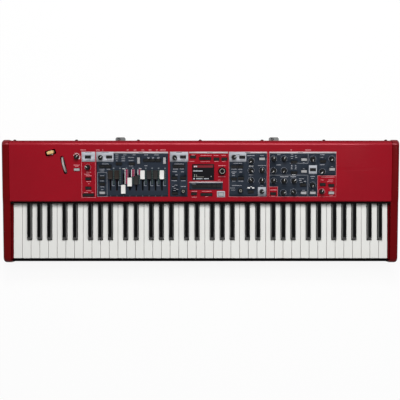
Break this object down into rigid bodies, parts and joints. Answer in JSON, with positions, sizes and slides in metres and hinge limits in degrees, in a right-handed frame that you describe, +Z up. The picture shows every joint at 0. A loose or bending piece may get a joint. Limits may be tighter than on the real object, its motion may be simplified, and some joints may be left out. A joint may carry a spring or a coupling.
{
  "type": "stage keyboard",
  "caption": "Stage keyboard: piano-size keys between end cheeks, a sloped red panel with drawbars, knobs, buttons, a display, a pitch stick and a wheel, and sockets at the rear.",
  "frame": {"origin": "on the floor under the feet, midway between the outer faces of the end cheeks and midway between the front of the cheeks and the rear edge of the stand brackets", "axes": "+X to the player's right along the keys, +Y away from the player, +Z up"},
  "size_m": [1.068, 0.337, 0.1196],
  "materials": {
    "red_paint": "deep red powder coat on sheet metal, satin with a fine grain",
    "dark_red_paint": "dark red gloss lacquer over shaped timber",
    "black_steel": "matt black powder coat on sheet metal",
    "black_plastic": "black moulding, finely grained",
    "key_white": "off-white key plastic, polished",
    "key_black": "black key plastic, satin",
    "bare_aluminium": "folded sheet, bare",
    "spring_steel": "bright",
    "board_green": "green solder mask on glass-fibre board, with black knobs",
    "silicone": "grey silicone, with light and dark button caps",
    "rubber": "black, matt",
    "wood": "light hardwood, oiled",
    "stone": "pale stone look, honed",
    "drawbar_brown": "dark brown moulding",
    "drawbar_white": "white moulding",
    "display_glass": "dark display window",
    "bracket_grey": "dark grey coat on steel"
  },
  "bodies": {
    "case": {"bottom_tray": "black_steel", "rear_panel": "black_steel", "top_panel": "red_paint", "left_end_cheek": "dark_red_paint", "right_end_cheek": "dark_red_paint", "key_slip": "black_plastic", "keybed_frame": "bare_aluminium", "key_pivot_rod": "spring_steel", "key_spring_comb": "spring_steel", "key_contact_strip": "silicone", "control_board": "board_green", "display_lens": "display_glass", "power_supply": "bare_aluminium", "power_inlet": "black_plastic", "rear_sockets": "black_plastic", "left_stand_bracket": "bracket_grey", "right_stand_bracket": "bracket_grey", "front_left_foot": "rubber", "front_right_foot": "rubber", "rear_left_foot": "rubber", "rear_right_foot": "rubber"},
    "bass_white_keys": {"bass_white_keys": "key_white"},
    "bass_black_keys": {"bass_black_keys": "key_black"},
    "key_c4": {"key_c4": "key_white"},
    "key_c_sharp4": {"key_c_sharp4": "key_black"},
    "key_d4": {"key_d4": "key_white"},
    "key_d_sharp4": {"key_d_sharp4": "key_black"},
    "key_e4": {"key_e4": "key_white"},
    "key_f4": {"key_f4": "key_white"},
    "key_f_sharp4": {"key_f_sharp4": "key_black"},
    "key_g4": {"key_g4": "key_white"},
    "key_g_sharp4": {"key_g_sharp4": "key_black"},
    "key_a4": {"key_a4": "key_white"},
    "key_a_sharp4": {"key_a_sharp4": "key_black"},
    "key_b4": {"key_b4": "key_white"},
    "treble_white_keys": {"treble_white_keys": "key_white"},
    "treble_black_keys": {"treble_black_keys": "key_black"},
    "left_button_mat": {"left_button_mat": "silicone"},
    "centre_button_mat": {"centre_button_mat": "silicone"},
    "right_button_mat": {"right_button_mat": "silicone"},
    "master_level_knob": {"master_level_knob": "black_plastic"},
    "organ_volume_knob": {"organ_volume_knob": "black_plastic"},
    "piano_volume_knob": {"piano_volume_knob": "black_plastic"},
    "synth_volume_knob": {"synth_volume_knob": "black_plastic"},
    "filter_knob": {"filter_knob": "black_plastic"},
    "effect_rate_knob": {"effect_rate_knob": "black_plastic"},
    "reverb_knob": {"reverb_knob": "black_plastic"},
    "program_dial": {"program_dial": "black_plastic"},
    "drawbar_1": {"drawbar_1": "drawbar_brown"},
    "drawbar_2": {"drawbar_2": "drawbar_brown"},
    "drawbar_3": {"drawbar_3": "drawbar_white"},
    "drawbar_4": {"drawbar_4": "drawbar_white"},
    "drawbar_5": {"drawbar_5": "black_plastic"},
    "drawbar_6": {"drawbar_6": "drawbar_white"},
    "drawbar_7": {"drawbar_7": "black_plastic"},
    "drawbar_8": {"drawbar_8": "black_plastic"},
    "drawbar_9": {"drawbar_9": "drawbar_white"},
    "pitch_stick": {"pitch_stick": "wood"},
    "mod_wheel": {"mod_wheel": "stone"},
    "power_switch": {"power_switch": "black_plastic"}
  },
  "joints": [
    {"name": "bass_whites_press", "type": "hinge", "parent": "case", "child": "bass_white_keys", "pos_m": [0, 0.03, 0.061], "axis": [1, 0, 0], "range_deg": [0, 3.02], "stiffness_Nm_per_rad": 19, "springref_deg": -11.46},
    {"name": "bass_blacks_press", "type": "hinge", "parent": "case", "child": "bass_black_keys", "pos_m": [0, 0.03, 0.061], "axis": [1, 0, 0], "range_deg": [0, 3.02], "stiffness_Nm_per_rad": 10.4, "springref_deg": -11.46},
    {"name": "c4_press", "type": "hinge", "parent": "case", "child": "key_c4", "pos_m": [-0.04714, 0.03, 0.061], "axis": [1, 0, 0], "range_deg": [0, 3.02], "stiffness_Nm_per_rad": 1, "springref_deg": -11.46},
    {"name": "c_sharp4_press", "type": "hinge", "parent": "case", "child": "key_c_sharp4", "pos_m": [-0.03771, 0.03, 0.061], "axis": [1, 0, 0], "range_deg": [0, 3.02], "stiffness_Nm_per_rad": 0.8, "springref_deg": -11.46},
    {"name": "d4_press", "type": "hinge", "parent": "case", "child": "key_d4", "pos_m": [-0.02357, 0.03, 0.061], "axis": [1, 0, 0], "range_deg": [0, 3.02], "stiffness_Nm_per_rad": 1, "springref_deg": -11.46},
    {"name": "d_sharp4_press", "type": "hinge", "parent": "case", "child": "key_d_sharp4", "pos_m": [-0.00944, 0.03, 0.061], "axis": [1, 0, 0], "range_deg": [0, 3.02], "stiffness_Nm_per_rad": 0.8, "springref_deg": -11.46},
    {"name": "e4_press", "type": "hinge", "parent": "case", "child": "key_e4", "pos_m": [0, 0.03, 0.061], "axis": [1, 0, 0], "range_deg": [0, 3.02], "stiffness_Nm_per_rad": 1, "springref_deg": -11.46},
    {"name": "f4_press", "type": "hinge", "parent": "case", "child": "key_f4", "pos_m": [0.02357, 0.03, 0.061], "axis": [1, 0, 0], "range_deg": [0, 3.02], "stiffness_Nm_per_rad": 1, "springref_deg": -11.46},
    {"name": "f_sharp4_press", "type": "hinge", "parent": "case", "child": "key_f_sharp4", "pos_m": [0.03183, 0.03, 0.061], "axis": [1, 0, 0], "range_deg": [0, 3.02], "stiffness_Nm_per_rad": 0.8, "springref_deg": -11.46},
    {"name": "g4_press", "type": "hinge", "parent": "case", "child": "key_g4", "pos_m": [0.04714, 0.03, 0.061], "axis": [1, 0, 0], "range_deg": [0, 3.02], "stiffness_Nm_per_rad": 1, "springref_deg": -11.46},
    {"name": "g_sharp4_press", "type": "hinge", "parent": "case", "child": "key_g_sharp4", "pos_m": [0.05893, 0.03, 0.061], "axis": [1, 0, 0], "range_deg": [0, 3.02], "stiffness_Nm_per_rad": 0.8, "springref_deg": -11.46},
    {"name": "a4_press", "type": "hinge", "parent": "case", "child": "key_a4", "pos_m": [0.07071, 0.03, 0.061], "axis": [1, 0, 0], "range_deg": [0, 3.02], "stiffness_Nm_per_rad": 1, "springref_deg": -11.46},
    {"name": "a_sharp4_press", "type": "hinge", "parent": "case", "child": "key_a_sharp4", "pos_m": [0.08602, 0.03, 0.061], "axis": [1, 0, 0], "range_deg": [0, 3.02], "stiffness_Nm_per_rad": 0.8, "springref_deg": -11.46},
    {"name": "b4_press", "type": "hinge", "parent": "case", "child": "key_b4", "pos_m": [0.09429, 0.03, 0.061], "axis": [1, 0, 0], "range_deg": [0, 3.02], "stiffness_Nm_per_rad": 1, "springref_deg": -11.46},
    {"name": "treble_whites_press", "type": "hinge", "parent": "case", "child": "treble_white_keys", "pos_m": [0, 0.03, 0.061], "axis": [1, 0, 0], "range_deg": [0, 3.02], "stiffness_Nm_per_rad": 17, "springref_deg": -11.46},
    {"name": "treble_blacks_press", "type": "hinge", "parent": "case", "child": "treble_black_keys", "pos_m": [0, 0.03, 0.061], "axis": [1, 0, 0], "range_deg": [0, 3.02], "stiffness_Nm_per_rad": 9.6, "springref_deg": -11.46},
    {"name": "left_buttons_press", "type": "slide", "parent": "case", "child": "left_button_mat", "axis": [0, 0.0663, -0.9978], "range_m": [0, 0.001], "stiffness_N_per_m": 800, "springref_m": -0.003},
    {"name": "centre_buttons_press", "type": "slide", "parent": "case", "child": "centre_button_mat", "axis": [0, 0.0663, -0.9978], "range_m": [0, 0.001], "stiffness_N_per_m": 800, "springref_m": -0.003},
    {"name": "right_buttons_press", "type": "slide", "parent": "case", "child": "right_button_mat", "axis": [0, 0.0663, -0.9978], "range_m": [0, 0.001], "stiffness_N_per_m": 800, "springref_m": -0.003},
    {"name": "master_level_turn", "type": "hinge", "parent": "case", "child": "master_level_knob", "pos_m": [-0.332, 0.11444, 0.10573], "axis": [0, -0.0663, 0.9978], "range_deg": [-110, 190]},
    {"name": "organ_volume_turn", "type": "hinge", "parent": "case", "child": "organ_volume_knob", "pos_m": [-0.2682, 0.11235, 0.10559], "axis": [0, -0.0663, 0.9978], "range_deg": [-100, 200]},
    {"name": "piano_volume_turn", "type": "hinge", "parent": "case", "child": "piano_volume_knob", "pos_m": [-0.0695, 0.11235, 0.10559], "axis": [0, -0.0663, 0.9978], "range_deg": [-20, 280]},
    {"name": "synth_volume_turn", "type": "hinge", "parent": "case", "child": "synth_volume_knob", "pos_m": [0.0897, 0.11345, 0.10567], "axis": [0, -0.0663, 0.9978], "range_deg": [-75, 225]},
    {"name": "filter_turn", "type": "hinge", "parent": "case", "child": "filter_knob", "pos_m": [0.1359, 0.10317, 0.10499], "axis": [0, -0.0663, 0.9978], "range_deg": [-280, 20]},
    {"name": "effect_rate_turn", "type": "hinge", "parent": "case", "child": "effect_rate_knob", "pos_m": [0.1963, 0.10886, 0.10536], "axis": [0, -0.0663, 0.9978], "range_deg": [-150, 150]},
    {"name": "reverb_turn", "type": "hinge", "parent": "case", "child": "reverb_knob", "pos_m": [0.3523, 0.10886, 0.10536], "axis": [0, -0.0663, 0.9978], "range_deg": [-300, 0]},
    {"name": "program_dial_turn", "type": "hinge", "parent": "case", "child": "program_dial", "pos_m": [0.058, 0.07633, 0.1032], "axis": [0, -0.0663, 0.9978], "continuous": true},
    {"name": "drawbar_1_slide", "type": "slide", "parent": "case", "child": "drawbar_1", "axis": [0, -0.9978, -0.0663], "range_m": [0, 0.039]},
    {"name": "drawbar_2_slide", "type": "slide", "parent": "case", "child": "drawbar_2", "axis": [0, -0.9978, -0.0663], "range_m": [0, 0.039]},
    {"name": "drawbar_3_slide", "type": "slide", "parent": "case", "child": "drawbar_3", "axis": [0, -0.9978, -0.0663], "range_m": [-0.039, 0]},
    {"name": "drawbar_4_slide", "type": "slide", "parent": "case", "child": "drawbar_4", "axis": [0, -0.9978, -0.0663], "range_m": [-0.0195, 0.0195]},
    {"name": "drawbar_5_slide", "type": "slide", "parent": "case", "child": "drawbar_5", "axis": [0, -0.9978, -0.0663], "range_m": [-0.01463, 0.02438]},
    {"name": "drawbar_6_slide", "type": "slide", "parent": "case", "child": "drawbar_6", "axis": [0, -0.9978, -0.0663], "range_m": [0, 0.039]},
    {"name": "drawbar_7_slide", "type": "slide", "parent": "case", "child": "drawbar_7", "axis": [0, -0.9978, -0.0663], "range_m": [0, 0.039]},
    {"name": "drawbar_8_slide", "type": "slide", "parent": "case", "child": "drawbar_8", "axis": [0, -0.9978, -0.0663], "range_m": [0, 0.039]},
    {"name": "drawbar_9_slide", "type": "slide", "parent": "case", "child": "drawbar_9", "axis": [0, -0.9978, -0.0663], "range_m": [0, 0.039]},
    {"name": "pitch_stick_bend", "type": "hinge", "parent": "case", "child": "pitch_stick", "pos_m": [-0.402, 0.12691, 0.08852], "axis": [-0.2588, 0.9638, 0.064], "range_deg": [-9, 9], "stiffness_Nm_per_rad": 0.3},
    {"name": "mod_wheel_roll", "type": "hinge", "parent": "case", "child": "mod_wheel", "pos_m": [-0.367, 0.09344, 0.087], "axis": [-0.9732, -0.2295, -0.0152], "range_deg": [0, 70]},
    {"name": "power_switch_rock", "type": "hinge", "parent": "case", "child": "power_switch", "pos_m": [0.375, 0.14794, 0.045], "axis": [1, 0, 0], "range_deg": [-16, 0]}
  ]
}
